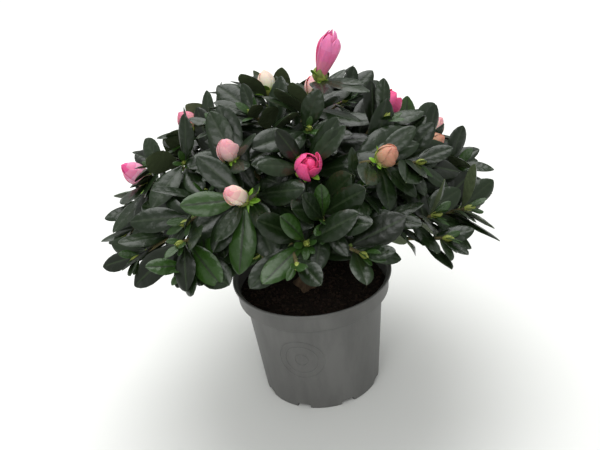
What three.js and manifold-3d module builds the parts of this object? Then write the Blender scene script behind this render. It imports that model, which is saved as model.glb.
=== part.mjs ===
// A budding azalea in a small round nursery pot, in millimetres, +Z up, the origin at the middle of the
// pot's underside. A short woody stem stands on the filled pot and forks into curved boughs. Each bough
// carries one mass of foliage: three shoots that fork from one foot, with leaves that climb them by the
// golden turn, and on some of them a fat flower bud. The masses share out the dome of the crown, each
// in a cone of its own.
import * as THREE from "three";
import { mergeVertices } from "three/addons/utils/BufferGeometryUtils.js";
import Module from "manifold-3d";

const wasm = await Module();
wasm.setup();

// Driving dimensions. Angles are in degrees.
const GAP = 0.3; // between solids that touch

const POT = {
  height: 80,
  rimRadius: 50,
  footRadius: 37,
  wall: 1.2,
  floor: 1.8,
  collarHeight: 12.5,
  collarStep: 4.4,
  shoulder: 2.5, // height of the slope up to the collar
  lip: 2,
  sides: 44,
};
const DRAIN = {
  slots: 8,
  slotWidth: 9,
  slotHeight: 3.2,
  holes: 5,
  holeRadius: 3.2,
  holeCircle: 18,
};
const SOIL = { level: 69, sides: 28 };

const STEM = { fork: 100, footRadius: 7.2, neckRadius: 4.6, forkRadius: 3.7, lean: 4, sides: 12 };
const STEM_RINGS = [-0.06, 0.08, 0.18, 0.32, 0.55, 0.78, 1]; // shares of its height
const FLARE = { height: 9, lobes: 4, depth: 0.22 };

// The crown is a flattened dome. Its heart is the point that all masses look away from.
const HEART = new THREE.Vector3(-2, 5, 95);
const CROWN = { across: 107, up: 94 }; // how far from the heart the shoots end
const LEAF_MARGIN = 21; // how far the leaves go beyond that
const BOUGH_REACH = 34; // the boughs end here
const FIRST_LEAF_REACH = 35; // and the leaves begin here
// The lowest leaves: lower at the back, and lifted off the middle of the pot's front
const HEM = { height: 108, slope: 0.18, frontRise: 0.09, frontWidth: 75, tipsAbove: 12 };

// Rings of masses, from the top of the crown to its skirt. An azimuth goes from the front, -Y, towards
// +X, and a lift is above level. For each mass, buds lists those of its shoots that end in one.
const RINGS = [
  { name: "top", lift: 84, azimuth: -5, leaf: 40, buds: [[0]] },
  { name: "shoulder", lift: 47, azimuth: -37, leaf: 42, buds: [[0, 2], [1, 2], [2], [0, 2], [1], [1]] },
  { name: "skirt", lift: 17, azimuth: -98, leaf: 46, buds: [[1], [], [], [], [2], [1], []] },
];
const CROWN_SEED = 105712200;
const LEAF_SEED = CROWN_SEED + 200;
const JITTER = { azimuth: 5, lift: 4, reach: 0.05, shootTurn: 18, shootTilt: 3 };
const SHOOTS = { count: 3, tilt: 14, forks: [0, 0.12, 0.3], bend: 0.42 };

// Boughs: radii at the foot and the tip, and how far their first stretch goes out and up
const BOUGH = { sides: 5, steps: 4 };
const BOUGHS = {
  top: { radii: [1.6, 1.3], out: 0, up: 20 },
  shoulder: { radii: [2.0, 1.3], out: 24, up: 8 },
  skirt: { radii: [1.5, 1.2], out: 16, up: 0 },
};
const TOP_FOOT = 2.1; // how far off the stem's middle the top bough stands
const SHOULDER_FEET = { first: 83, rise: 5.2, levels: 3 }; // where shoulder boughs leave the stem
const SKIRT_FORKS = [0.3, 0.46]; // shares of a shoulder bough's length, turn about

const TWIG = { sides: 3, steps: 3, radii: [1.3, 0.95], leaves: 18, firstLeaf: 0.12, lastLeaf: 0.98 };

const LEAF = {
  widthShare: 0.43, // of its length
  thickness: 0.9,
  sunk: 0.15,
  arch: 0.16,
  curl: 0.06,
  lowSpread: 84,
  highSpread: 50,
  leastSpread: 22,
  spreadJitter: 7,
  turnJitter: 8,
  lengthJitter: 0.08,
  endsShorter: 1.3,
  longest: 0.45, // share of the way up the shoot
};
const RETRY = { tries: 10, spread: -3.5, turn: 16, shrink: 0.04 }; // for a leaf that doesn't fit
const ELBOW_ROOM = 5; // between the middles of two leaves
const GOLDEN_TURN = 137.5;
const LIGHT = 0.45; // how far leaves turn their faces to the sky

// The blade's corners, from its foot round to its foot: share of its length, and of its half width
const BLADE = [
  [0, 0],
  [0.36, 0.72],
  [0.76, 1],
  [1, 0],
  [0.76, -1],
  [0.36, -0.72],
];
const BLADE_TIP = 3;
const BLADE_MIDDLE = 0.52;
// Its upper faces fan out from the middle of the midrib, which is the seventh corner. The lower ones
// cross from edge to edge.
const BLADE_FACES = [
  [0, 1, 6],
  [1, 2, 6],
  [2, 3, 6],
  [3, 4, 6],
  [4, 5, 6],
  [5, 0, 6],
  [0, 5, 1],
  [5, 2, 1],
  [5, 4, 2],
  [4, 3, 2],
];

// Buds: radius and height as shares of their length, from the stalk up
const BUD = { sunk: 1.5, sides: 6 };
const CLOSED_BUD = {
  length: 20,
  profile: [
    [0.1, 0.0],
    [0.27, 0.2],
    [0.32, 0.48],
    [0.22, 0.82],
    [0, 1],
  ],
};
// The one bud that is unfurling, on a longer shoot
const HALF_OPEN = { mass: "top_1", shoot: 0, reach: 1.09 };
const HALF_OPEN_BUD = {
  length: 26,
  profile: [
    [0.09, 0.0],
    [0.17, 0.16],
    [0.26, 0.46],
    [0.22, 0.72],
    [0.13, 0.93],
    [0, 1],
  ],
};

// Small helpers
const UP = new THREE.Vector3(0, 0, 1);
const radians = THREE.MathUtils.degToRad;
const lerp = THREE.MathUtils.lerp;

// The same draws from the same seed, from 0 to 1
function seeded(seed) {
  let state = seed;
  return () => {
    state = (state + 0x6d2b79f5) >>> 0;
    let mixed = Math.imul(state ^ (state >>> 15), state | 1);
    mixed ^= mixed + Math.imul(mixed ^ (mixed >>> 7), mixed | 61);
    return ((mixed ^ (mixed >>> 14)) >>> 0) / 2 ** 32;
  };
}

// A draw from -1 to 1
function either(draw) {
  return draw() * 2 - 1;
}

function level(azimuth) {
  return new THREE.Vector3(Math.sin(radians(azimuth)), -Math.cos(radians(azimuth)), 0);
}

function direction(azimuth, lift) {
  const flat = level(azimuth).multiplyScalar(Math.cos(radians(lift)));
  return flat.addScaledVector(UP, Math.sin(radians(lift)));
}

// Two unit vectors across an axis, the first of them level
function acrossOf(axis) {
  const side = new THREE.Vector3().crossVectors(axis, UP);
  if (side.lengthSq() < 1e-6) {
    side.set(1, 0, 0);
  }
  side.normalize();
  return { side, cross: new THREE.Vector3().crossVectors(side, axis) };
}

// The way that leaves an axis at an angle, turned about it
function tilted(axis, angle, turn) {
  const { side, cross } = acrossOf(axis);
  return new THREE.Vector3()
    .addScaledVector(axis, Math.cos(radians(angle)))
    .addScaledVector(side, Math.sin(radians(angle)) * Math.cos(radians(turn)))
    .addScaledVector(cross, Math.sin(radians(angle)) * Math.sin(radians(turn)));
}

// Paths
function bent(start, control, end, steps) {
  return new THREE.QuadraticBezierCurve3(start, control, end).getPoints(steps);
}

function along(points, share) {
  const place = share * (points.length - 1);
  const i = Math.min(Math.floor(place), points.length - 2);
  const point = points[i].clone().lerp(points[i + 1], place - i);
  return { point, axis: points[i + 1].clone().sub(points[i]).normalize() };
}

function segments(points) {
  return points.slice(1).map((point, i) => [points[i], point]);
}

function tapered([foot, tip], steps) {
  return Array.from({ length: steps + 1 }, (_, i) => lerp(foot, tip, i / steps));
}

// Solids
function solidOf(geometry) {
  const bare = geometry.clone();
  bare.deleteAttribute("normal");
  bare.deleteAttribute("uv");
  const merged = mergeVertices(bare, 1e-4);
  return new wasm.Manifold(
    new wasm.Mesh({
      numProp: 3,
      vertProperties: new Float32Array(merged.getAttribute("position").array),
      triVerts: new Uint32Array(merged.index.array),
    }),
  );
}

function geometryOf(solid) {
  const mesh = solid.getMesh();
  const geometry = new THREE.BufferGeometry();
  geometry.setAttribute("position", new THREE.BufferAttribute(mesh.vertProperties.slice(), 3));
  geometry.setIndex(new THREE.BufferAttribute(mesh.triVerts.slice(), 1));
  geometry.computeVertexNormals();
  return geometry;
}

// Joins solids, and keeps the largest body: loose scraps go, and sealed hollows are filled.
function fused(solids) {
  const joined = solids.slice(1).reduce((sum, solid) => sum.add(solid), solids[0]);
  const bodies = joined.decompose();
  return bodies.reduce((best, body) => (body.volume() > best.volume() ? body : best));
}

function cutBy(solid, tools) {
  return tools.reduce((rest, tool) => rest.subtract(tool), solid);
}

// A profile of [radius, height] pairs turned about Z. It starts and ends on the axis.
function turned(profile, sides) {
  const points = profile.map(([radius, height]) => new THREE.Vector2(radius, height));
  return new THREE.LatheGeometry(points, sides).rotateX(Math.PI / 2);
}

// A closed limb: a cylinder whose rings are moved on to a path of points, each with its radius
function limb(points, radii, sides, lobe = () => 1) {
  const last = points.length - 1;
  const shape = new THREE.CylinderGeometry(1, 1, 1, sides, last);
  const frames = [];
  points.forEach((_, i) => {
    const ahead = points[Math.min(i + 1, last)];
    const behind = points[Math.max(i - 1, 0)];
    const axis = new THREE.Vector3().subVectors(ahead, behind).normalize();
    const before = i ? frames[i - 1].side : acrossOf(axis).side;
    const side = before.clone().addScaledVector(axis, -before.dot(axis)).normalize();
    frames.push({ side, cross: new THREE.Vector3().crossVectors(side, axis) });
  });
  const at = shape.getAttribute("position");
  for (let i = 0; i < at.count; i++) {
    const ring = Math.round((at.getY(i) + 0.5) * last);
    const radius = radii[ring] * lobe(Math.atan2(at.getZ(i), at.getX(i)), ring);
    const point = points[ring]
      .clone()
      .addScaledVector(frames[ring].side, at.getX(i) * radius)
      .addScaledVector(frames[ring].cross, at.getZ(i) * radius);
    at.setXYZ(i, point.x, point.y, point.z);
  }
  return shape;
}

// The pot: a thin tapered wall with a wider collar, a flared lip, and drain slots round its foot
function potSolid() {
  const { height, rimRadius, footRadius, wall, floor, collarStep, shoulder, lip } = POT;
  const collar = height - POT.collarHeight;
  const collarRadius = rimRadius - lip;
  const neck = neckRadius();
  const profile = [
    [0, 0],
    [footRadius - 1.5, 0],
    [footRadius, 1.6],
    [neck, collar - shoulder],
    [neck + collarStep, collar],
    [collarRadius, height - 3],
    [rimRadius, height - 1.5],
    [rimRadius, height - 0.3],
    [rimRadius - 0.3, height],
    [rimRadius - wall, height],
    [collarRadius - wall, height - 2.2],
    [neck + collarStep - wall, collar + 0.8],
    [neck - wall, collar - shoulder + 0.6],
    [footRadius - wall - 0.3, floor],
    [0, floor],
  ];
  return cutBy(solidOf(turned(profile, POT.sides)), [...drainSlots(), ...drainHoles()]);
}

// The wall's outer radius just under the collar
function neckRadius() {
  return POT.rimRadius - POT.lip - POT.collarStep - 0.4;
}

function drainSlots() {
  return Array.from({ length: DRAIN.slots }, (_, i) => {
    const slot = new THREE.BoxGeometry(DRAIN.slotWidth, 8, 2 * DRAIN.slotHeight);
    slot.translate(0, -POT.footRadius, 0);
    return solidOf(slot.rotateZ(radians(((i + 0.5) * 360) / DRAIN.slots)));
  });
}

function drainHoles() {
  return Array.from({ length: DRAIN.holes }, (_, i) => {
    const hole = new THREE.CylinderGeometry(DRAIN.holeRadius, DRAIN.holeRadius, 4 * POT.floor, 12);
    hole.rotateX(Math.PI / 2).translate(0, DRAIN.holeCircle, 0);
    return solidOf(hole.rotateZ(radians((i * 360) / DRAIN.holes)));
  });
}

// The root ball: peat that fills the pot to just over the foot of its collar
function rootBallSolid() {
  const clear = POT.wall + GAP + 0.1;
  const bottom = POT.floor + GAP;
  const foot = POT.footRadius - 0.3 - clear;
  const neck = neckRadius() - clear;
  const brim = neck + POT.collarStep;
  const profile = [
    [0, bottom],
    [foot - 1, bottom],
    [foot, bottom + 1],
    [neck, POT.height - POT.collarHeight - POT.shoulder + 1.2],
    [brim, SOIL.level - 0.2],
    [brim - 1, SOIL.level],
    [0, SOIL.level],
  ];
  return solidOf(turned(profile, SOIL.sides));
}

// The main stem, from a flat cut on the soil to its fork
const STEM_FOOT = SOIL.level + GAP;

function stemCentre(height) {
  const share = (STEM.fork - height) / (STEM.fork - STEM_FOOT);
  return new THREE.Vector3(-STEM.lean * share * share, STEM.lean * 0.5 * share, height);
}

function flareAt(height) {
  return Math.max(0, 1 - (height - STEM_FOOT) / FLARE.height);
}

function stemRadius(height) {
  const rise = (height - STEM_FOOT) / (STEM.fork - STEM_FOOT);
  const flare = flareAt(height) ** 2 * (STEM.footRadius - STEM.neckRadius);
  return lerp(STEM.neckRadius, STEM.forkRadius, rise) + flare;
}

function stemSolid(extra = 0) {
  const heights = STEM_RINGS.map((share) => lerp(STEM_FOOT, STEM.fork, share));
  const radii = heights.map((height) => stemRadius(height) + extra);
  const lobe = (angle, ring) => 1 + FLARE.depth * flareAt(heights[ring]) * Math.cos(FLARE.lobes * angle);
  const whole = solidOf(limb(heights.map(stemCentre), radii, STEM.sides, lobe));
  const ground = new THREE.BoxGeometry(60, 60, 20).translate(0, 0, STEM_FOOT - 10);
  return cutBy(whole, [solidOf(ground)]);
}

// How far from the heart the shoots end, this way
function crownReach(way) {
  return 1 / Math.hypot(way.x / CROWN.across, way.y / CROWN.across, way.z / CROWN.up);
}

function hemAt(point) {
  const inFront = Math.max(0, -point.y) * Math.max(0, 1 - (point.x / HEM.frontWidth) ** 2);
  return HEM.height - HEM.slope * point.y + HEM.frontRise * inFront;
}

// The masses of foliage: where each one looks, and where its shoots end
function placeMasses() {
  return RINGS.flatMap((ring, row) =>
    ring.buds.map((buds, place) => {
      const draw = seeded(CROWN_SEED + row * 20 + place);
      const azimuth = ring.azimuth + (place * 360) / ring.buds.length + JITTER.azimuth * either(draw);
      const look = direction(azimuth, ring.lift + JITTER.lift * either(draw));
      const name = `${ring.name}_${place + 1}`;
      const tips = placeTips(name, look, draw);
      return { name, ring: ring.name, place, azimuth, look, tips, buds, leaf: ring.leaf };
    }),
  );
}

// A mass's shoots end evenly round the way that it looks.
function placeTips(name, look, draw) {
  const firstTurn = draw() * 360;
  return Array.from({ length: SHOOTS.count }, (_, i) => {
    const turn = firstTurn + (i * 360) / SHOOTS.count + JITTER.shootTurn * either(draw);
    const way = tilted(look, SHOOTS.tilt + JITTER.shootTilt * either(draw), turn);
    const longer = isHalfOpen(name, i) ? HALF_OPEN.reach : 1;
    const reach = longer * crownReach(way) * (1 + JITTER.reach * either(draw));
    const tip = HEART.clone().addScaledVector(way, reach);
    tip.z = Math.max(tip.z, hemAt(tip) + HEM.tipsAbove);
    return tip;
  });
}

function isHalfOpen(name, shoot) {
  return name === HALF_OPEN.mass && shoot === HALF_OPEN.shoot;
}

const masses = placeMasses();

// A mass's space is the cone of points that look its way more than any other mass's way, between the
// boughs' ends and the crown's face, above the hem.
function inSpace(mass, point) {
  const from = point.clone().sub(HEART);
  const out = from.length();
  const face = crownReach(from.clone().normalize()) + LEAF_MARGIN;
  if (out < FIRST_LEAF_REACH || out > face || point.z < hemAt(point)) {
    return false;
  }
  return masses.every((other) => {
    const wall = mass.look.clone().sub(other.look).normalize();
    return other === mass || from.dot(wall) > GAP / 2 + 0.05;
  });
}

// Boughs. The top one stands on the stem's fork, the shoulder's leave the stem below it, and each of
// the skirt's forks from the nearest of those.
function boughCurve(mass) {
  const end = HEART.clone().addScaledVector(mass.look, BOUGH_REACH);
  const start = boughFoot(mass);
  const { out, up } = BOUGHS[mass.ring];
  const control = start.clone().addScaledVector(level(mass.azimuth), out).addScaledVector(UP, up);
  return new THREE.QuadraticBezierCurve3(start, control, end);
}

function boughFoot(mass) {
  if (mass.ring === "skirt") {
    return boughCurve(parentOf(mass)).getPoint(SKIRT_FORKS[mass.place % 2]);
  }
  if (mass.ring === "shoulder") {
    return stemCentre(SHOULDER_FEET.first + SHOULDER_FEET.rise * (mass.place % SHOULDER_FEET.levels));
  }
  return stemCentre(STEM.fork).addScaledVector(level(mass.azimuth), TOP_FOOT).addScaledVector(UP, GAP);
}

function parentOf(mass) {
  const shoulders = masses.filter((other) => other.ring === "shoulder");
  const nearer = (best, other) => (mass.look.dot(other.look) > mass.look.dot(best.look) ? other : best);
  return shoulders.reduce(nearer);
}

function boughLimb(mass, extra = 0) {
  const radii = tapered(BOUGHS[mass.ring].radii, BOUGH.steps).map((radius) => radius + extra);
  return solidOf(limb(boughCurve(mass).getPoints(BOUGH.steps), radii, BOUGH.sides));
}

function boughSolid(mass) {
  if (mass.ring === "top") {
    return boughLimb(mass);
  }
  const tools = [stemSolid(GAP)];
  if (mass.ring === "skirt") {
    tools.push(boughLimb(parentOf(mass), GAP));
  }
  return fused([cutBy(boughLimb(mass), tools)]);
}

// The shoots of a mass. The first goes on from its bough's tip, and the others fork from it.
function shootPaths(mass) {
  const { v1: control, v2: end } = boughCurve(mass);
  const onward = end.clone().sub(control).normalize();
  const foot = end.clone().addScaledVector(onward, GAP);
  const paths = [];
  mass.tips.forEach((tip, i) => {
    const start = i ? along(paths[0], SHOOTS.forks[i]).point : foot;
    const bend = start.clone().addScaledVector(onward, SHOOTS.bend * start.distanceTo(tip));
    paths.push(bent(start, bend, tip, TWIG.steps));
  });
  return paths;
}

// Leaves. Each is a fan of triangles round the middle of its midrib, inside a six-cornered outline.
function leafAt(point, axis, spread, turn, length) {
  const way = tilted(axis, spread, turn);
  const sky = axis.clone().lerp(UP, LIGHT);
  const face = sky.addScaledVector(way, -sky.dot(way)).normalize();
  const side = new THREE.Vector3().crossVectors(way, face);
  const foot = point.clone().addScaledVector(way, -LEAF.sunk);
  const spot = (share, across, up) => {
    const edge = (across * length * LEAF.widthShare) / 2;
    const drop = LEAF.arch * length * share ** 2 + LEAF.curl * Math.abs(edge);
    return foot
      .clone()
      .addScaledVector(way, share * length)
      .addScaledVector(face, up - drop)
      .addScaledVector(side, edge);
  };
  const outline = BLADE.map(([share, across]) => spot(share, across, 0));
  return { outline, middle: spot(BLADE_MIDDLE, 0, LEAF.thickness) };
}

function leafEdges({ outline, middle }) {
  const rim = outline.map((corner, i) => [corner, outline[(i + 1) % outline.length]]);
  return [...rim, [outline[0], middle], [middle, outline[BLADE_TIP]]];
}

function crossesLeaf([from, to], { outline, middle }) {
  const ray = new THREE.Ray(from, to.clone().sub(from).normalize());
  const length = from.distanceTo(to);
  const hit = new THREE.Vector3();
  return outline.some((corner, i) => {
    const next = outline[(i + 1) % outline.length];
    const meets = ray.intersectTriangle(corner, next, middle, false, hit);
    return meets !== null && from.distanceTo(hit) < length;
  });
}

function leavesCross(one, other) {
  return (
    one.middle.distanceTo(other.middle) < ELBOW_ROOM ||
    leafEdges(one).some((edge) => crossesLeaf(edge, other)) ||
    leafEdges(other).some((edge) => crossesLeaf(edge, one))
  );
}

function leafFits(mass, leaf, leaves, wood) {
  const corners = [...leaf.outline.slice(1), leaf.middle];
  return (
    corners.every((point) => inSpace(mass, point)) &&
    !wood.some((edge) => crossesLeaf(edge, leaf)) &&
    !leaves.some((other) => leavesCross(leaf, other))
  );
}

// Leaves climb a shoot by the golden turn, closer together and steeper towards its tip. A leaf that
// would leave the mass's space, or cross another leaf or shoot, is turned and shortened, and skipped
// if that doesn't help.
function growLeaves(mass, shoot, wood, leaves, draw) {
  const firstTurn = draw() * 360;
  for (let i = 0; i < TWIG.leaves; i++) {
    const rise = i / (TWIG.leaves - 1);
    const { point, axis } = along(shoot, lerp(TWIG.firstLeaf, TWIG.lastLeaf, rise ** 0.7));
    const turn = firstTurn + i * GOLDEN_TURN + LEAF.turnJitter * either(draw);
    const spread = lerp(LEAF.lowSpread, LEAF.highSpread, rise) + LEAF.spreadJitter * either(draw);
    const taper = 1 - LEAF.endsShorter * (rise - LEAF.longest) ** 2;
    const length = mass.leaf * taper * (1 + LEAF.lengthJitter * either(draw));
    for (let attempt = 0; attempt < RETRY.tries; attempt++) {
      const angle = Math.max(spread + RETRY.spread * attempt, LEAF.leastSpread);
      const shorter = length * (1 - RETRY.shrink * attempt);
      const leaf = leafAt(point, axis, angle, turn + RETRY.turn * attempt, shorter);
      if (leafFits(mass, leaf, leaves, wood)) {
        leaves.push(leaf);
        break;
      }
    }
  }
}

function leafSolid({ outline, middle }) {
  const blade = new THREE.BufferGeometry().setFromPoints([...outline, middle]);
  return solidOf(blade.setIndex(BLADE_FACES.flat()));
}

function budSolid(shoot, { length, profile }) {
  const outline = profile.map(([radius, height]) => [radius * length, height * length]);
  const { point, axis } = along(shoot, 1);
  const shape = turned([[0, -BUD.sunk], ...outline], BUD.sides);
  shape.applyQuaternion(new THREE.Quaternion().setFromUnitVectors(UP, axis));
  return solidOf(shape.translate(point.x, point.y, point.z));
}

function massSolid(mass, number) {
  const draw = seeded(LEAF_SEED + number);
  const shoots = shootPaths(mass);
  const leaves = [];
  shoots.forEach((shoot) => {
    const wood = shoots.filter((other) => other !== shoot).flatMap(segments);
    growLeaves(mass, shoot, wood, leaves, draw);
  });
  const radii = tapered(TWIG.radii, TWIG.steps);
  const twigs = shoots.map((shoot) => solidOf(limb(shoot, radii, TWIG.sides)));
  const buds = mass.buds.map((i) => {
    const shape = isHalfOpen(mass.name, i) ? HALF_OPEN_BUD : CLOSED_BUD;
    return budSolid(shoots[i], shape);
  });
  return fused([...twigs, ...leaves.map(leafSolid), ...buds]);
}

// Looks
function paint(color, roughness) {
  return new THREE.MeshStandardMaterial({ color, roughness, metalness: 0, flatShading: true });
}

const greyPlastic = paint(0x6b6b69, 0.55);
const peat = paint(0x2a1f18, 1);
const bark = paint(0x5d4a3a, 0.9);
const darkLeaf = paint(0x33493a, 0.45);

// Assembly
const azalea = new THREE.Group();

function add(name, solid, material) {
  const mesh = new THREE.Mesh(geometryOf(solid), material);
  mesh.name = name;
  azalea.add(mesh);
}

add("pot", potSolid(), greyPlastic);
add("root_ball", rootBallSolid(), peat);
add("stem", stemSolid(), bark);
masses.forEach((mass, i) => {
  add(`bough_${mass.name}`, boughSolid(mass), bark);
  add(`foliage_${mass.name}`, massSolid(mass, i), darkLeaf);
});

export default azalea;
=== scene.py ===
"""A budding azalea in its grey nursery pot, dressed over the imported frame.

The crown grows by the part's own rule, in millimetres, and goes on to finer twigs.
Meshes are in metres.
"""

import functools
import math

import bmesh
import bpy
import numpy as np
from bpy.props import FloatProperty, FloatVectorProperty, IntProperty, PointerProperty
from bpy.types import Operator, Panel, PropertyGroup
from mathutils import Matrix, Vector


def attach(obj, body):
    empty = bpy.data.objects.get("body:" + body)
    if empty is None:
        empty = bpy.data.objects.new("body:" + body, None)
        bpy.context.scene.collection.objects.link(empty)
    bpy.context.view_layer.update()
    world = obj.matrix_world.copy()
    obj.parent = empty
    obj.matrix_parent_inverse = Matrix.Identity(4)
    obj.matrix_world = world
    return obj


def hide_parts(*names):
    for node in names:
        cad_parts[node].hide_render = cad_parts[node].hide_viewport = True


bl_info = {
    "name": "Budding azalea",
    "version": (1, 0, 0),
    "blender": (4, 5, 0),
    "location": "3D View > Sidebar > Azalea",
    "description": "Dresses the packed azalea with leaves, buds, bark, peat and pot",
    "category": "Object",
}

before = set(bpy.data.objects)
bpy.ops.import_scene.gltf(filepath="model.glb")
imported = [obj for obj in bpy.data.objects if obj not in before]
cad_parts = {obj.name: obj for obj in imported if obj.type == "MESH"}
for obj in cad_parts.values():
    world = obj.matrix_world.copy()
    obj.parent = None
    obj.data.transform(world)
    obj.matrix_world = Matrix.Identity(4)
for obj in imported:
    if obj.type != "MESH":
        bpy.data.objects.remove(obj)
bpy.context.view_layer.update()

MM = 0.001
BODY = "root"
UP = np.array([0.0, 0.0, 1.0])
FRONT = np.array([0.0, -0.7, 0.71])  # from the plant to the photograph's camera

# The crown's rule, with the part's own values in millimetres and degrees
STEM_FOOT = 69.3
STEM = dict(fork=100, foot=7.2, neck=4.6, top=3.7, lean=4, flare=9)
HEART = np.array([-2.0, 5.0, 95.0])
CROWN = dict(across=107, up=94)
LEAF_MARGIN = 21
BOUGH_REACH = 34
HEM = dict(height=108, slope=0.18, front_rise=0.09, front_width=75, tips_above=12)
RINGS = (
    dict(name="top", lift=84, azimuth=-5, leaf=40, masses=1),
    dict(name="shoulder", lift=47, azimuth=-37, leaf=42, masses=6),
    dict(name="skirt", lift=17, azimuth=-98, leaf=46, masses=7),
)
CROWN_SEED = 105712200
LEAF_SEED = CROWN_SEED + 200
SIDE_SEED = LEAF_SEED + 50
YOUNG_SEED = LEAF_SEED + 300
JITTER = dict(azimuth=5, lift=4, reach=0.05, turn=18, tilt=3)
SHOOTS = dict(count=3, tilt=14, forks=(0, 0.12, 0.3), bend=0.42)
HALF_OPEN = dict(shoot=("top_1", 0), reach=1.09)
BOUGHS = {
    "top": dict(radii=(1.6, 1.3), out=0, up=20),
    "shoulder": dict(radii=(2.0, 1.3), out=24, up=8),
    "skirt": dict(radii=(1.5, 1.2), out=16, up=0),
}
SHOULDER_FEET = dict(first=83, rise=5.2, levels=3)
SKIRT_FORKS = (0.3, 0.46)
GOLDEN_TURN = 137.5
# Leaves stand at shares along their shoot, closer towards its tip where crowding is under 1, and
# spread from it by degrees. Arch and width are shares of a leaf's own length.
LEAVES = dict(
    count=18, first=0.12, last=0.98, crowding=0.7, ends_shorter=1.3, longest=0.45,
    low_spread=84, high_spread=50, least_spread=22, low_arch=0.24, high_arch=0.14, width=0.43,
)
LEAF_JITTER = dict(turn=8, spread=7, length=0.08)
RETRY = dict(tries=10, spread=-3.5, turn=16, shorter=0.04)

# What the looks add: fuller leaves, a rosette under each tip, and side twigs that seek the gaps
FULL_GROWN = 1.18
LEAF_VARIETY = dict(seed=3, width=(0.88, 1.1), arch=(0.7, 1.5))
WHORL = dict(at=0.98, step=0.9, turn=20, spread=13, vary=0.26, arch=0.2)
ROSETTE = dict(leaves=6, spread=72, length=0.92)
SIDE_TWIGS = dict(
    shares=(0.2, 0.45, 0.7), tilt=55, length=26, vary=0.25, rise=5, bend=0.4,
    turns=10, room=13, leaves=7, fewest=2, spread=66, leaf=0.86,
)

# A leaf's outline: share of its length, and share of its half width there
OUTLINE = (
    (0.0, 0.09), (0.09, 0.11), (0.2, 0.37), (0.33, 0.68), (0.46, 0.9), (0.59, 1.0),
    (0.72, 0.95), (0.84, 0.76), (0.925, 0.5), (0.98, 0.22), (1.0, 0.05),
)
COLUMNS = (-1, -0.56, -0.09, 0.09, 0.56, 1)
COLUMN_LIFTS = (-0.022, 0.026, -0.014, -0.014, 0.026, -0.022)  # shares of the leaf's length
VEINS = dict(pairs=6, slant=0.16, waver=0.12, depth=0.2)  # from the midrib to the margins
BLADE_THICKNESS = 0.012
RIPPLE = 9  # how fast a margin's waves follow each other

# The buds: the shoot that each ends, its form, its length and width, and its colour
BUDS = {
    ("top_1", 0): ("half_open", 31, 13.5, "rose"),
    ("shoulder_1", 0): ("closed", 17.5, 10.5, "peach"),
    ("shoulder_1", 2): ("closed", 15.5, 12, "blush"),
    ("shoulder_2", 1): ("opening", 15, 16, "hot_pink"),
    ("shoulder_2", 2): ("closed", 14, 12, "salmon"),
    ("shoulder_3", 2): ("closed", 12, 10.5, "salmon"),
    ("shoulder_4", 0): ("closed", 16, 13, "blush"),
    ("shoulder_4", 2): ("opening", 16, 17, "hot_pink"),
    ("shoulder_5", 1): ("closed", 15, 11, "cream"),
    ("shoulder_6", 1): ("closed", 15, 12, "dusky"),
    ("skirt_1", 1): ("closed", 21, 13, "magenta_tip"),
    ("skirt_5", 2): ("closed", 15, 12, "peach"),
    ("skirt_6", 1): ("closed", 18, 13, "pink"),
}
# How a bud leans from the line of its shoot: most turn a little to the sky
BUD_LEAN = (0, 0, 0.35)
BUD_LEANS = {
    ("shoulder_1", 0): (-0.7, 0, 0.8),
    ("shoulder_1", 2): (0.1, 0, 0.9),
    ("shoulder_2", 1): (0.3, 0, 0.1),
    ("shoulder_2", 2): (0, 0, 0.6),
}
# Petal colours at the foot of the bud, halfway and at its tip
PETALS = {
    "rose": ("#DA7C90", "#E16C9D", "#E986B8"),
    "pink": ("#EDB2B6", "#E985AF", "#E2609C"),
    "hot_pink": ("#E37A97", "#E95C90", "#E94A86"),
    "magenta_tip": ("#E5C3AA", "#EDA3BE", "#E2508F"),
    "blush": ("#EBD3BE", "#EEBBB8", "#E59FAA"),
    "peach": ("#F2E2CB", "#F4D6C4", "#EBA0A8"),
    "salmon": ("#9F8663", "#B5886C", "#BD7F6A"),
    "cream": ("#E6DCC0", "#EEDDC9", "#EBC8B8"),
    "dusky": ("#BF8F80", "#CF7F8D", "#CE6A87"),
}
PETAL_BANDS = 5  # colours up a petal
# Each form's petals, how they wrap, shrink inwards, flare and ruffle, the girth and height of its
# core, and its radii at BUD_HEIGHTS
BUD_HEIGHTS = (0, 0.12, 0.3, 0.5, 0.68, 0.82, 0.93, 1)
BUD_FORMS = {
    "closed": dict(
        petals=6, wrap=1.25, shrink=0.15, flare=0.02, ruffle=0.03, core=(0.84, 0.97),
        radii=(0.3, 0.66, 0.93, 1, 0.87, 0.62, 0.34, 0.08),
    ),
    "opening": dict(
        petals=10, wrap=1.15, shrink=0.6, flare=0.12, ruffle=0.05, core=(0.55, 0.86),
        radii=(0.3, 0.66, 0.93, 1, 0.93, 0.76, 0.56, 0.4),
    ),
    "half_open": dict(
        petals=7, wrap=1.15, shrink=0.45, flare=0.04, ruffle=0.1, core=(0.62, 0.86),
        radii=(0.3, 0.44, 0.68, 0.9, 1, 0.86, 0.58, 0.24),
    ),
}


def linear(code):
    """An sRGB hex colour as linear red, green and blue."""
    shares = [int(code[i : i + 2], 16) / 255 for i in (1, 3, 5)]
    return tuple(c / 12.92 if c <= 0.04045 else ((c + 0.055) / 1.055) ** 2.4 for c in shares)


def colour(name, description, code):
    """A colour that a user can change."""
    shown = {"subtype": "COLOR", "size": 3, "min": 0, "max": 1}
    return FloatVectorProperty(name=name, description=description, default=linear(code), **shown)


def length(name, description, metres):
    """A length that a user can change."""
    unit_of = {"subtype": "DISTANCE", "unit": "LENGTH"}
    return FloatProperty(name=name, description=description, default=metres, min=0, **unit_of)


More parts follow.
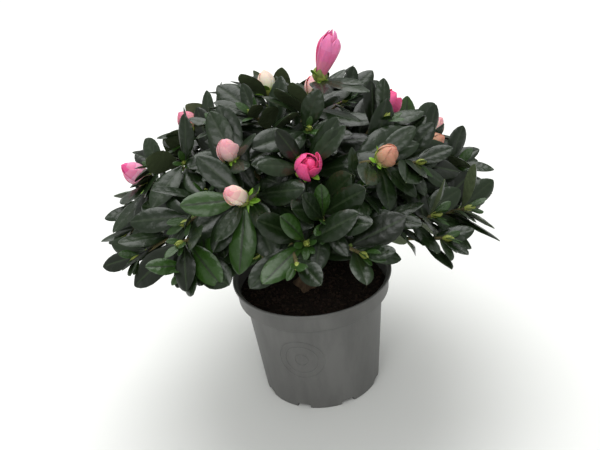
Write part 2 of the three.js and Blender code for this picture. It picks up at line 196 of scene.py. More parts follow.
class AzaleaSizes(PropertyGroup):
    """Sizes of the plant and its pot"""

    pot_height: length("Pot height", "Height of the pot up to its rim", 0.080)
    rim_radius: length("Rim radius", "Outer radius of the pot's rim", 0.050)
    neck_radius: length("Neck radius", "Outer radius of the pot just under its collar", 0.0432)
    foot_radius: length("Foot radius", "Outer radius of the pot's underside", 0.037)
    collar_height: length("Collar height", "Height of the collar round the pot's rim", 0.0125)
    wall: length("Wall", "Thickness of the pot's wall", 0.0012)
    peat_level: length("Peat level", "Height of the peat round the stem", 0.069)
    crumbs: IntProperty(
        name="Peat crumbs", description="How many crumbs lie loose", default=620, min=0, max=4000
    )


class AzaleaColours(PropertyGroup):
    """Colours of the plant and its pot"""

    # The deep tone is also painted shade: every leaf inside the crown takes it
    leaf_deep: colour("Deep leaf", "Leaves in the shade of the crown", "#0C1605")
    leaf_green: colour("Green leaf", "Most of the mature leaves", "#12210A")
    leaf_grey: colour("Grey leaf", "Mature leaves with a greyish bloom", "#1A2912")
    leaf_fresh: colour("Fresh leaf", "Leaves of this season", "#254112")
    leaf_under: colour("Underside", "Undersides of the leaves", "#4C583A")
    midrib: colour("Midrib", "Midribs of the leaves", "#202E16")
    stalk: colour("Stalk", "Stalks of the leaves", "#5F7534")
    young: colour("Young leaf", "Soft young leaves round the buds", "#6F9A2E")
    bract: colour("Bract", "Scales round the foot of a bud", "#8B9645")
    twig: colour("Twig", "Young twigs", "#5A5335")
    bark: colour("Bark", "Stem and boughs", "#574636")
    peat: colour("Peat", "Damp peat", "#1E1510")
    plastic: colour("Plastic", "The pot's plastic", "#5F5F5D")


# Seeded draws and directions, as in the part's source


def seeded(seed):
    """A source of draws from 0 to 1 that are always the same from the same seed."""
    word = 0xFFFFFFFF
    state = seed

    def draw():
        nonlocal state
        state = (state + 0x6D2B79F5) & word
        mixed = ((state ^ (state >> 15)) * (state | 1)) & word
        mixed ^= (mixed + (((mixed ^ (mixed >> 7)) * (mixed | 61)) & word)) & word
        return (mixed ^ (mixed >> 14)) / 2**32

    return draw


def either(draw):
    """A draw from -1 to 1."""
    return draw() * 2 - 1


def unit(vector):
    return vector / np.linalg.norm(vector)


def mix(a, b, share):
    return a + (b - a) * share


def level(azimuth):
    turn = math.radians(azimuth)
    return np.array([math.sin(turn), -math.cos(turn), 0.0])


def direction(azimuth, lift):
    rise = math.radians(lift)
    return level(azimuth) * math.cos(rise) + UP * math.sin(rise)


def across_of(axis):
    """Two unit vectors across an axis, the first of them level."""
    side = np.cross(axis, UP)
    if side @ side < 1e-6:
        side = np.array([1.0, 0.0, 0.0])
    side = unit(side)
    return side, np.cross(side, axis)


def tilted(axis, angle, turn):
    """The way that leaves an axis at an angle, turned about it."""
    side, cross = across_of(axis)
    lean, turn = math.radians(angle), math.radians(turn)
    return axis * math.cos(lean) + (side * math.cos(turn) + cross * math.sin(turn)) * math.sin(lean)


def on_curve(start, control, end, t):
    """The place at t, from 0 to 1, on a quadratic curve."""
    return start * (1 - t) ** 2 + 2 * control * t * (1 - t) + end * t**2


def bent(start, control, end, steps):
    """Points along a quadratic curve."""
    return on_curve(start, control, end, np.linspace(0, 1, steps + 1)[:, None])


def along(points, share):
    """The point at a share of a path, and the way that the path goes there."""
    place = share * (len(points) - 1)
    i = min(int(place), len(points) - 2)
    return mix(points[i], points[i + 1], place - i), unit(points[i + 1] - points[i])


def stem_centre(height):
    share = (STEM["fork"] - height) / (STEM["fork"] - STEM_FOOT)
    return np.array([-STEM["lean"] * share**2, STEM["lean"] * 0.5 * share, height])


def crown_reach(way):
    """How far from the heart the shoots end, this way."""
    return 1 / math.hypot(way[0] / CROWN["across"], way[1] / CROWN["across"], way[2] / CROWN["up"])


def hem_at(point):
    """The height that the crown's leaves keep above at a place."""
    x, y = point[0], point[1]
    front = np.maximum(0, -y) * np.maximum(0, 1 - (x / HEM["front_width"]) ** 2)
    return HEM["height"] - HEM["slope"] * y + HEM["front_rise"] * front


def place_masses():
    """Where each mass of foliage looks, and where its shoots end."""
    masses = []
    for row, ring in enumerate(RINGS):
        for place in range(ring["masses"]):
            draw = seeded(CROWN_SEED + row * 20 + place)
            azimuth = ring["azimuth"] + place * 360 / ring["masses"]
            azimuth += JITTER["azimuth"] * either(draw)
            look = direction(azimuth, ring["lift"] + JITTER["lift"] * either(draw))
            name = f"{ring['name']}_{place + 1}"
            mass = {"name": name, "ring": ring, "place": place, "azimuth": azimuth, "look": look}
            masses.append(mass | {"tips": place_tips(name, look, draw)})
    return masses


def place_tips(name, look, draw):
    """Where a mass's shoots end: near the crown's surface, and above its hem."""
    tips = []
    first_turn = draw() * 360
    for i in range(SHOOTS["count"]):
        turn = first_turn + i * 360 / SHOOTS["count"] + JITTER["turn"] * either(draw)
        way = tilted(look, SHOOTS["tilt"] + JITTER["tilt"] * either(draw), turn)
        longer = HALF_OPEN["reach"] if HALF_OPEN["shoot"] == (name, i) else 1
        tip = HEART + way * longer * crown_reach(way) * (1 + JITTER["reach"] * either(draw))
        tip[2] = max(tip[2], hem_at(tip) + HEM["tips_above"])
        tips.append(tip)
    return tips


def bough_curve(mass, masses):
    """The start, control and end of a mass's bough."""
    ring = mass["ring"]["name"]
    if ring == "skirt":
        shoulders = [other for other in masses if other["ring"]["name"] == "shoulder"]
        parent = max(shoulders, key=lambda other: other["look"] @ mass["look"])
        foot = on_curve(*bough_curve(parent, masses), SKIRT_FORKS[mass["place"] % 2])
    elif ring == "shoulder":
        feet = SHOULDER_FEET
        foot = stem_centre(feet["first"] + feet["rise"] * (mass["place"] % feet["levels"]))
    else:
        foot = stem_centre(STEM["fork"])
    stretch = BOUGHS[ring]
    control = foot + level(mass["azimuth"]) * stretch["out"] + UP * stretch["up"]
    return foot, control, HEART + mass["look"] * BOUGH_REACH


def shoot_paths(mass, masses, steps=9):
    """A mass's shoots: the first goes on from its bough's tip, and the others fork from it."""
    _, control, end = bough_curve(mass, masses)
    onward = unit(end - control)
    paths = []
    for i, tip in enumerate(mass["tips"]):
        start = along(paths[0], SHOOTS["forks"][i])[0] if i else end - onward
        bend = start + onward * SHOOTS["bend"] * np.linalg.norm(tip - start)
        paths.append(bent(start, bend, tip, steps))
    return paths


# Leaves that find room among each other

BLADE = ((0, 0), (0.36, 0.72), (0.76, 1), (1, 0), (0.76, -1), (0.36, -0.72), (0.52, 0))
BLADE_TIP, BLADE_MIDDLE = 3, 6  # of its corners, which run round the leaf and end in its middle
RIM = [(i, (i + 1) % BLADE_MIDDLE) for i in range(BLADE_MIDDLE)]
FAN = [(*edge, BLADE_MIDDLE) for edge in RIM]
EDGES = [*RIM, (0, BLADE_MIDDLE), (BLADE_MIDDLE, BLADE_TIP)]
LIGHT = 0.45  # how far leaves turn their faces to the sky
ELBOW_ROOM = 5.5  # between the middles of two leaves
LONGEST_PAIR = 62  # no two leaves whose middles are further apart can meet
MOST_LEAVES = 4000
BUD_ROOM = dict(round=0.55, before=0.8)  # kept clear of leaves, as shares of a bud's width


def pose_leaf(point, axis, spread, turn, reach, width, arch):
    """A leaf on a shoot, and the seven corners of its simplest form."""
    way = tilted(axis, spread, turn)
    sky = mix(axis, UP, LIGHT)
    face = unit(sky - way * (sky @ way))
    side = np.cross(way, face)
    corners = []
    for share, across in BLADE:
        edge = across * reach * width / 2
        corners.append(point + way * share * reach + side * edge - face * arch * reach * share**2)
    leaf = {"foot": point, "way": way, "face": face, "side": side, "length": reach}
    return leaf | {"width": width, "arch": arch}, np.array(corners)


def meets(edges, triangles):
    """Whether any edge, N x 2 x 3, goes through any triangle, M x 3 x 3."""
    start, step = edges[:, None, 0], edges[:, None, 1] - edges[:, None, 0]
    corner = triangles[None, :, 0]
    one, two = triangles[None, :, 1] - corner, triangles[None, :, 2] - corner
    normal = np.cross(step, two)
    scale = (one * normal).sum(-1)
    scale = np.where(np.abs(scale) > 1e-9, scale, np.inf)
    offset = start - corner
    first = (offset * normal).sum(-1) / scale
    other = np.cross(offset, one)
    second = (step * other).sum(-1) / scale
    share = (two * other).sum(-1) / scale
    inside = (first > 0) & (second > 0) & (first + second < 1)
    return bool((inside & (share > 0) & (share < 1)).any())


class Thicket:
    """The leaves that have grown so far"""

    def __init__(self):
        self.corners = np.zeros((MOST_LEAVES, len(BLADE), 3))
        self.count = 0
        self.buds = []
        self.varied = np.random.default_rng(LEAF_VARIETY["seed"]).uniform

    def has_room(self, corners):
        """Whether a leaf stays in the crown and clear of the others."""
        tips = corners[1:] - HEART
        reach = np.linalg.norm(tips / (CROWN["across"], CROWN["across"], CROWN["up"]), axis=1)
        out = np.linalg.norm(tips, axis=1)
        too_low = corners[1:, 2] < hem_at(corners[1:].T)
        if too_low.any() or (out - out / reach > LEAF_MARGIN).any():
            return False
        spots = np.concatenate([corners[1:], (corners[1:] + corners[BLADE_MIDDLE]) / 2])
        for middle, girth in self.buds:
            if (np.linalg.norm(spots - middle, axis=1) < girth).any():
                return False
        grown = self.corners[: self.count]
        apart = np.linalg.norm(grown[:, BLADE_MIDDLE] - corners[BLADE_MIDDLE], axis=1)
        if (apart < ELBOW_ROOM).any():
            return False
        near = grown[apart < LONGEST_PAIR]
        if not len(near):
            return True
        fans = near[:, FAN].reshape(-1, 3, 3)
        rims = near[:, EDGES].reshape(-1, 2, 3)
        return not (meets(corners[EDGES], fans) or meets(rims, corners[FAN]))

    def keep_off(self, foot, axis, reach, width):
        """Keeps leaves off a bud, and out of the space before its tip and before its front."""
        middle = foot + axis * reach * 0.5
        self.buds.append((middle, width * BUD_ROOM["round"]))
        for way in (axis, FRONT):
            self.buds.append((middle + way * reach, width * BUD_ROOM["before"]))

    def add(self, corners):
        self.corners[self.count] = corners
        self.count += 1


def grow_leaf(thicket, point, axis, spread, turn, reach, arch):
    """A leaf where it has room, turned and shortened as far as that takes, or None."""
    width = LEAVES["width"] * thicket.varied(*LEAF_VARIETY["width"])
    arch *= thicket.varied(*LEAF_VARIETY["arch"])
    for attempt in range(RETRY["tries"]):
        angle = max(spread + RETRY["spread"] * attempt, LEAVES["least_spread"])
        shorter = reach * (1 - RETRY["shorter"] * attempt)
        turned = turn + RETRY["turn"] * attempt
        leaf, corners = pose_leaf(point, axis, angle, turned, shorter, width, arch)
        if thicket.has_room(corners):
            thicket.add(corners)
            return leaf
    return None


def climb(thicket, path, reach, draw):
    """The part's leaves: they climb a shoot by the golden turn."""
    leaves = []
    first_turn = draw() * 360
    for i in range(LEAVES["count"]):
        rise = i / (LEAVES["count"] - 1)
        share = mix(LEAVES["first"], LEAVES["last"], rise ** LEAVES["crowding"])
        turn = first_turn + i * GOLDEN_TURN + LEAF_JITTER["turn"] * either(draw)
        spread = mix(LEAVES["low_spread"], LEAVES["high_spread"], rise)
        spread += LEAF_JITTER["spread"] * either(draw)
        taper = 1 - LEAVES["ends_shorter"] * (rise - LEAVES["longest"]) ** 2
        size = reach * taper * (1 + LEAF_JITTER["length"] * either(draw))
        arch = mix(LEAVES["low_arch"], LEAVES["high_arch"], rise)
        leaves.append(grow_leaf(thicket, *along(path, share), spread, turn, size, arch))
    return leaves


def whorl(thicket, path, form, reach, draw):
    """A rosette of leaves near the end of a twig."""
    point, axis = along(path, WHORL["at"])
    first_turn = draw() * 360
    leaves = []
    for i in range(form["leaves"]):
        turn = first_turn + i * 360 / form["leaves"] + WHORL["turn"] * either(draw)
        foot = point - axis * i * WHORL["step"]
        size = reach * (1 + WHORL["vary"] * either(draw))
        spread = form["spread"] + WHORL["spread"] * either(draw)
        leaves.append(grow_leaf(thicket, foot, axis, spread, turn, size, WHORL["arch"]))
    return leaves


def keep(grown, mass, leaves):
    """Adds the leaves of one spray that found room."""
    spray = grown["sprays"] = grown["sprays"] + 1
    for leaf in leaves:
        if leaf:
            grown["leaves"].append(leaf | {"mass": mass["name"], "spray": spray})


def side_twig(thicket, path, share, draw):
    """A short twig that leaves a shoot towards the widest gap, or None where there is no gap."""
    start, axis = along(path, share)
    reach = SIDE_TWIGS["length"] * (1 + SIDE_TWIGS["vary"] * either(draw))
    first_turn = draw() * 360
    best, room = None, SIDE_TWIGS["room"]
    for i in range(SIDE_TWIGS["turns"]):
        way = tilted(axis, SIDE_TWIGS["tilt"], first_turn + i * 360 / SIDE_TWIGS["turns"])
        end = start + way * reach + UP * SIDE_TWIGS["rise"]
        end[2] = max(end[2], hem_at(end) + HEM["tips_above"])
        out = end - HEART
        if np.linalg.norm(out) > crown_reach(unit(out)):
            continue
        middles = thicket.corners[: thicket.count, BLADE_MIDDLE]
        gap = np.linalg.norm(middles - end, axis=1).min()
        if gap > room:
            best, room = end, gap
    if best is None:
        return None
    return bent(start, start + axis * reach * SIDE_TWIGS["bend"], best, 5)


def bud_place(shoot, path):
    """The foot and axis of the bud that ends a shoot."""
    foot, axis = along(path, 1)
    return foot, unit(axis + BUD_LEANS.get(shoot, BUD_LEAN))


@functools.cache
def crown():
    """Everything that grows on the boughs: shoots, side twigs, leaves and where the buds sit."""
    masses = place_masses()
    shoots = [shoot_paths(mass, masses) for mass in masses]
    thicket = Thicket()
    for mass, paths in zip(masses, shoots):
        for i, path in enumerate(paths):
            shoot = (mass["name"], i)
            if shoot in BUDS:
                _, reach, width, _ = BUDS[shoot]
                thicket.keep_off(*bud_place(shoot, path), reach, width)
    grown = {"shoots": [], "twigs": [], "leaves": [], "tips": [], "sprays": 0}
    for number, (mass, paths) in enumerate(zip(masses, shoots)):
        draw = seeded(LEAF_SEED + number)
        for i, path in enumerate(paths):
            grown["shoots"].append(path)
            grown["tips"].append({"path": path, "bud": (mass["name"], i), "side": False})
            keep(grown, mass, climb(thicket, path, mass["ring"]["leaf"] * FULL_GROWN, draw))
    for number, (mass, paths) in enumerate(zip(masses, shoots)):
        draw = seeded(SIDE_SEED + number)
        reach = mass["ring"]["leaf"]
        for path in paths:
            keep(grown, mass, whorl(thicket, path, ROSETTE, reach * ROSETTE["length"], draw))
            for share in SIDE_TWIGS["shares"]:
                twig = side_twig(thicket, path, share, draw)
                if twig is None:
                    continue
                on_twig = whorl(thicket, twig, SIDE_TWIGS, reach * SIDE_TWIGS["leaf"], draw)
                if sum(leaf is not None for leaf in on_twig) < SIDE_TWIGS["fewest"]:
                    continue
                grown["twigs"].append(twig)
                grown["tips"].append({"path": twig, "bud": None, "side": True})
                keep(grown, mass, on_twig)
    return grown


# Meshes from arrays


def joined(name, points, faces, slots=None, uvs=None):
    """An object from points in millimetres and faces, with a slot a face and a UV a point."""
    mesh = bpy.data.meshes.new(name)
    places = (np.asarray(points) * MM).tolist()
    mesh.from_pydata(places, [], [list(map(int, face)) for face in faces])
    if slots is not None:
        mesh.polygons.foreach_set("material_index", np.asarray(slots, dtype=np.int32))
    if uvs is not None:
        corners = np.zeros(len(mesh.loops), dtype=np.int32)
        mesh.loops.foreach_get("vertex_index", corners)
        layer = mesh.uv_layers.new(name="UVMap")
        layer.data.foreach_set("uv", np.asarray(uvs, dtype=np.float32)[corners].ravel())
    mesh.update()
    made = bpy.data.objects.new(name, mesh)
    bpy.context.collection.objects.link(made)
    return made


def limb(points, radii, sides, ridge=None, first=0):
    """A closed limb along a path, with radii spread evenly along it.

    Gives its points and its faces, which number the points from first.
    """
    points = np.asarray(points, dtype=float)
    count = len(points)
    radii = np.interp(np.linspace(0, 1, count), np.linspace(0, 1, len(radii)), radii)
    side = across_of(unit(points[1] - points[0]))[0]
    angles = np.arange(sides) * 2 * math.pi / sides
    cos, sin = np.cos(angles)[:, None], np.sin(angles)[:, None]
    rings = []
    for i, point in enumerate(points):
        axis = unit(points[min(i + 1, count - 1)] - points[max(i - 1, 0)])
        side = unit(side - axis * (side @ axis))
        swell = np.ones(sides) if ridge is None else ridge(angles, i)
        rings.append(point + radii[i] * swell[:, None] * (cos * side + sin * np.cross(side, axis)))
    faces = []
    for near in range(first, first + (count - 1) * sides, sides):
        for k in range(sides):
            beside = (k + 1) % sides
            faces.append((near + k, near + sides + k, near + sides + beside, near + beside))
    last = first + (count - 1) * sides
    faces += [tuple(range(first, first + sides)), tuple(range(last, last + sides))[::-1]]
    return np.concatenate(rings), faces


def limbs(parts):
    """The points and faces of several limbs, from the path, radii, sides and ridge of each."""
    points, faces = np.zeros((0, 3)), []
    for part in parts:
        more, walls = limb(*part, first=len(points))
        points = np.concatenate([points, more])
        faces += walls
    return points, faces


def leaf_master():
    """One leaf, flat: points as share along, share across and lift, its faces, and their parts."""
    points, faces, parts = [], [], []
    rows, columns = len(OUTLINE), len(COLUMNS)
    for share, half in OUTLINE:
        for across, lift in zip(COLUMNS, COLUMN_LIFTS):
            points.append((share, across * half, lift * half + BLADE_THICKNESS / 2))
    for share, half in OUTLINE:
        points.append((share, 0, -BLADE_THICKNESS * (0.5 + half)))
    for row in range(rows - 1):
        for column in range(columns - 1):
            near = row * columns + column
            faces.append((near, near + 1, near + columns + 1, near + columns))
            parts.append("stalk" if row == 0 else "midrib" if column == 2 else "upper")
        near, middle = row * columns, rows * columns + row
        faces.append((near, near + columns, middle + 1, middle))
        faces.append((middle, middle + 1, near + 2 * columns - 1, near + columns - 1))
        parts += ["under", "under"]
    last = (rows - 1) * columns
    faces.append((*range(columns), rows * columns)[::-1])
    faces.append((*range(last, last + columns), rows * columns + rows - 1))
    parts += ["under", "under"]
    return np.array(points), faces, parts


def bend_leaves(master, leaves):
    """Every leaf's points, from the master bent to each leaf's own pose."""

    def each(key):
        return np.array([leaf[key] for leaf in leaves], dtype=float)[:, None]

    share, across, lift = (master[None, :, i] for i in range(3))
    size = each("length")
    edge = across * size * each("width") / 2
    twist = each("twist") * share
    turn_cos, turn_sin = np.cos(twist)[..., None], np.sin(twist)[..., None]
    side, face = each("side"), each("face")
    turned_side = side * turn_cos + face * turn_sin
    turned_face = face * turn_cos - side * turn_sin
    drop = each("arch") * size * share**2 + each("curl") * np.abs(edge)
    wave = each("wave") * size * np.sin(share * RIPPLE + each("phase")) * across**2
    bow = each("bow") * size * share**2
    return (
        each("foot")
        + each("way") * (share * size)[..., None]
        + face * (-drop)[..., None]
        + turned_face * (lift * size + wave)[..., None]
        + turned_side * edge[..., None]
        + side * bow[..., None]
    )


def leaf_piece(name, leaves, part_slots):
    """A piece of many leaves. Parts without a slot of their own take that of the leaf's tone."""
    master, faces, parts = leaf_master()
    points = bend_leaves(master, leaves)
    uvs = np.tile(np.column_stack([master[:, 1], master[:, 0]]), (len(leaves), 1))
    all_faces, slots = [], []
    for number, leaf in enumerate(leaves):
        shift = number * len(master)
        all_faces += [[corner + shift for corner in face] for face in faces]
        slots += [part_slots.get(part, leaf["tone"]) for part in parts]
    piece = joined(name, points.reshape(-1, 3), all_faces, slots, uvs)
    smooth(piece, 55)
    return piece


# Helpers for modelling with operators


def only(piece):
    """Selects one object and makes it active."""
    bpy.ops.object.select_all(action="DESELECT")
    piece.select_set(True)
    bpy.context.view_layer.objects.active = piece


def smooth(piece, angle):
    only(piece)
    bpy.ops.object.shade_smooth_by_angle(angle=math.radians(angle))


def finish_modifiers(piece):
    only(piece)
    for modifier in list(piece.modifiers):
        bpy.ops.object.modifier_apply(modifier=modifier.name)


def edit(piece, mode):
    only(piece)
    bpy.ops.object.mode_set(mode="EDIT")
    bpy.ops.mesh.select_mode(type=mode)
    bpy.ops.mesh.select_all(action="DESELECT")


def leave_edit():
    bpy.ops.object.mode_set(mode="OBJECT")


def settle():
    """Moves the active object's place, turn and scale into its mesh."""
    bpy.ops.object.transform_apply(location=True, rotation=True, scale=True)


def outward(piece):
    """Merges doubled points and turns all faces out."""
    edit(piece, "VERT")
    bpy.ops.mesh.select_all(action="SELECT")
    bpy.ops.mesh.remove_doubles(threshold=1e-6)
    bpy.ops.mesh.normals_make_consistent(inside=False)
    leave_edit()


def roughen(piece, reliefs, middle):
    """Displaces a piece by clouds, each of a grain and a depth in millimetres."""
    for name, (grain, depth) in reliefs.items():
        texture = bpy.data.textures.new(name, "CLOUDS")
        texture.noise_scale = grain * MM
        relief = piece.modifiers.new(name, "DISPLACE")
        relief.texture = texture
        relief.strength = depth * MM
        relief.mid_level = middle


def dress(piece, materials, slot, *nodes):
    """Gives a piece its materials and its body, and hides the nodes that it stands for. The slot is
    not used.
    """
    for finish in materials:
        piece.data.materials.append(finish)
    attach(piece, BODY)
    if nodes:
        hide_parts(*nodes)


def nodes_named(*starts):
    return sorted(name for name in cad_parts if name.startswith(starts))


# Materials


def node(tree, kind, links=None, **settings):
    """Adds a shader node with its settings, and sets its inputs to values or other outputs."""
    made = tree.nodes.new("ShaderNode" + kind)
    for key, value in settings.items():
        setattr(made, key, value)
    for key, value in (links or {}).items():
        if isinstance(value, bpy.types.NodeSocket):
            tree.links.new(value, made.inputs[key])
        else:
            made.inputs[key].default_value = value
    return made


def material(name, **finish):
    """A material with its node tree and its Principled shader, which takes the finish."""
    made = bpy.data.materials.new(name)
    made.use_nodes = True
    shader = made.node_tree.nodes["Principled BSDF"]
    for key, value in finish.items():
        shader.inputs[key.replace("_", " ")].default_value = value
    return made, made.node_tree, shader


def opaque(rgb):
    return (*rgb, 1)


def shaded(rgb, factor):
    return tuple(min(1, c * factor) for c in rgb)


def tint_and_bump(tree, shader, share, dark, light, relief):
    """Links a mix of two colours and a bump to the shader."""
    blend = {0: share, 6: opaque(dark), 7: opaque(light)}
    tint = node(tree, "Mix", blend, data_type="RGBA")
    bump = node(tree, "Bump", relief)
    tree.links.new(tint.outputs[2], shader.inputs["Base Color"])
    tree.links.new(bump.outputs["Normal"], shader.inputs["Normal"])


def skin_material(name, rgb, rough, uneven, grain, **finish):
    """Living skin: a leaf or petal, unevenly tinted, with a fine grain in millimetres."""
    made, tree, shader = material(name, Roughness=rough, **finish)
    place = node(tree, "TexCoord").outputs["Object"]
    mottling = {"Vector": place, "Scale": 1 / (7 * MM), "Detail": 3.0}
    mottle = node(tree, "TexNoise", mottling, name="Mottle").outputs["Fac"]
    pores = {"Vector": place, "Scale": 1 / (grain * MM), "Detail": 2.0}
    fine = node(tree, "TexNoise", pores).outputs["Fac"]
    relief = {"Height": fine, "Strength": 0.4, "Distance": grain * 0.2 * MM}
    dark, light = shaded(rgb, 1 - uneven), shaded(rgb, 1 + uneven)
    tint_and_bump(tree, shader, mottle, dark, light, relief)
    return made


def leaf_material(name, rgb, rough=0.34, uneven=0.35, veins=VEINS["depth"]):
    """Leathery leaf: its waxy cuticle gives a broad soft shine, quilted by veins.

    Six pairs of them stand about 6 mm apart on a grown leaf.
    """
    made = skin_material(name, rgb, rough, uneven, grain=3.2, IOR=1.45)
    tree = made.node_tree
    place = tree.nodes["Texture Coordinate"].outputs["UV"]
    parts = node(tree, "SeparateXYZ", {0: place}).outputs
    off = node(tree, "Math", {0: parts["X"]}, operation="ABSOLUTE").outputs[0]
    lean = {0: off, 1: -VEINS["slant"], 2: parts["Y"]}
    slant = node(tree, "Math", lean, operation="MULTIPLY_ADD").outputs[0]
    drift = {0: tree.nodes["Mottle"].outputs["Fac"], 1: VEINS["waver"], 2: slant}
    waver = node(tree, "Math", drift, operation="MULTIPLY_ADD").outputs[0]
    pace = {0: waver, 1: VEINS["pairs"] * 2 * math.pi}
    turns = node(tree, "Math", pace, operation="MULTIPLY").outputs[0]
    quilt = node(tree, "Math", {0: turns}, operation="SINE").outputs[0]
    grain = tree.nodes["Bump"].outputs["Normal"]
    relief = {"Height": quilt, "Strength": veins, "Distance": 0.25 * MM, "Normal": grain}
    bump = node(tree, "Bump", relief)
    tree.links.new(bump.outputs["Normal"], tree.nodes["Principled BSDF"].inputs["Normal"])
    return made


def petal_material(name, rgb):
    """Soft petal: matt velvet that lets a little light through."""
    glow = {"Subsurface_Weight": 0.2, "Subsurface_Scale": 2 * MM}
    return skin_material(name, rgb, rough=0.55, uneven=0.1, grain=0.8, IOR=1.4, **glow)


def rough_material(name, dark, light, grain, rough, depth, squash=1.0):
    """Rough natural stuff, such as bark or peat: blotches of two colours and a coarse grain."""
    made, tree, shader = material(name, Roughness=rough, Specular_IOR_Level=0.25)
    place = node(tree, "TexCoord").outputs["Object"]
    pull = {"Vector": place, "Scale": (1.0, 1.0, squash)}
    place = node(tree, "Mapping", pull).outputs[0]
    blotches = {"Vector": place, "Scale": 0.35 / (grain * MM), "Detail": 4.0}
    blotch = node(tree, "TexNoise", blotches).outputs["Fac"]
    grains = {"Vector": place, "Scale": 1 / (grain * MM), "Detail": 5.0}
    fine = node(tree, "TexNoise", grains).outputs["Fac"]
    spread = {"Value": blotch, "From Min": 0.35, "From Max": 0.65}
    share = node(tree, "MapRange", spread).outputs[0]
    relief = {"Height": fine, "Strength": depth, "Distance": grain * 0.5 * MM}
    tint_and_bump(tree, shader, share, dark, light, relief)
    return made


def plastic_material(name, rgb):
    """Moulded recycled polypropylene: satin, with flow marks, dust and a fine mould texture."""
    made, tree, shader = material(name, IOR=1.49)
    place = node(tree, "TexCoord").outputs["Object"]
    pull = {"Vector": place, "Scale": (1.0, 1.0, 0.3)}
    pulled = node(tree, "Mapping", pull).outputs[0]
    marks = {"Vector": pulled, "Scale": 1 / (14 * MM), "Detail": 6.0, "Roughness": 0.62}
    flow = node(tree, "TexNoise", marks).outputs["Fac"]
    spread = {"Value": flow, "From Min": 0.36, "From Max": 0.64}
    share = node(tree, "MapRange", spread).outputs[0]
    texture = {"Vector": place, "Scale": 1 / (0.5 * MM), "Detail": 2.0}
    grain = node(tree, "TexNoise", texture).outputs["Fac"]
    relief = {"Height": grain, "Strength": 0.12, "Distance": 0.1 * MM}
    tint_and_bump(tree, shader, share, shaded(rgb, 0.84), shaded(rgb, 1.15), relief)
    matt = node(tree, "MapRange", {"Value": flow, "To Min": 0.42, "To Max": 0.62})
    tree.links.new(matt.outputs[0], shader.inputs["Roughness"])
    return made


# The pot

POT_SIDES = 128
SLOTS = dict(count=8, width=9, depth=8, height=3.2, rounding=1.4)
HOLES = dict(count=5, radius=3.2, circle=18, depth=6)
RINGS_ON_POT = dict(azimuth=-17.5, height=41, radii=(14.5, 10.5, 4.2), wire=0.45, flat=0.7)
TOUCHING = 1e-5  # metres


def pot_profile(sizes):
    """Radii and heights in metres, from the underside's edge over the rim to the floor inside.

    Each corner has a small bevel, and the lip flares out above the collar.
    """
    rim, neck, foot = sizes.rim_radius, sizes.neck_radius, sizes.foot_radius
    height, wall = sizes.pot_height, sizes.wall
    collar, edge = height - sizes.collar_height, rim - 2 * MM
    return [
        (foot - 1.5 * MM, 0),
        (foot - 0.4 * MM, 0.4 * MM),
        (foot, 1.6 * MM),
        (neck, collar - 2.5 * MM),
        (neck + 0.4 * MM, collar - 2.1 * MM),
        (edge - 0.8 * MM, collar - 0.3 * MM),
        (edge - 0.4 * MM, collar + 0.3 * MM),
        (edge, height - 3 * MM),
        (edge + 0.3 * MM, height - 2.5 * MM),
        (rim - 0.3 * MM, height - 1.6 * MM),
        (rim, height - 1.1 * MM),
        (rim, height - 0.5 * MM),
        (rim - 0.4 * MM, height),
        (rim - wall, height - 0.1 * MM),
        (edge - wall, height - 2.2 * MM),
        (edge - 0.4 * MM - wall, collar + 0.8 * MM),
        (neck - wall, collar - 1.9 * MM),
        (foot - wall - 0.3 * MM, 1.8 * MM),
    ]


def turn_vessel(name, profile, sides):
    """A ring extruded and widened along a profile of radii and heights, and closed at its ends."""
    radius, height = profile[0]
    bpy.ops.mesh.primitive_circle_add(vertices=sides, radius=radius, location=(0, 0, height))
    vessel = bpy.context.object
    vessel.name = name
    settle()
    edit(vessel, "EDGE")
    bpy.ops.mesh.select_all(action="SELECT")
    for (near, low), (far, high) in zip(profile, profile[1:]):
        bpy.ops.mesh.extrude_edges_move(TRANSFORM_OT_translate={"value": (0, 0, high - low)})
        widen = (far / near, far / near, 1)
        bpy.ops.transform.resize(value=widen, center_override=(0, 0, high))
    leave_edit()
    for radius, height in (profile[0], profile[-1]):
        edit(vessel, "EDGE")
        mesh = bmesh.from_edit_mesh(vessel.data)
        for spoke in mesh.edges:
            spoke.select = all(
                abs(end.co.z - height) < TOUCHING and abs(end.co.xy.length - radius) < TOUCHING
                for end in spoke.verts
            )
        bmesh.update_edit_mesh(vessel.data)
        bpy.ops.mesh.edge_face_add()
        leave_edit()
    outward(vessel)
    return vessel


def cut(piece, tools):
    """Cuts closed tools out of a piece."""
    bpy.ops.object.select_all(action="DESELECT")
    for tool in tools:
        tool.select_set(True)
    bpy.context.view_layer.objects.active = tools[0]
    bpy.ops.object.join()
    joined_tools = bpy.context.object
    outward(joined_tools)
    cutter = piece.modifiers.new("Cut", "BOOLEAN")
    cutter.operation = "DIFFERENCE"
    cutter.solver = "EXACT"
    cutter.object = joined_tools
    finish_modifiers(piece)
    bpy.data.objects.remove(joined_tools)


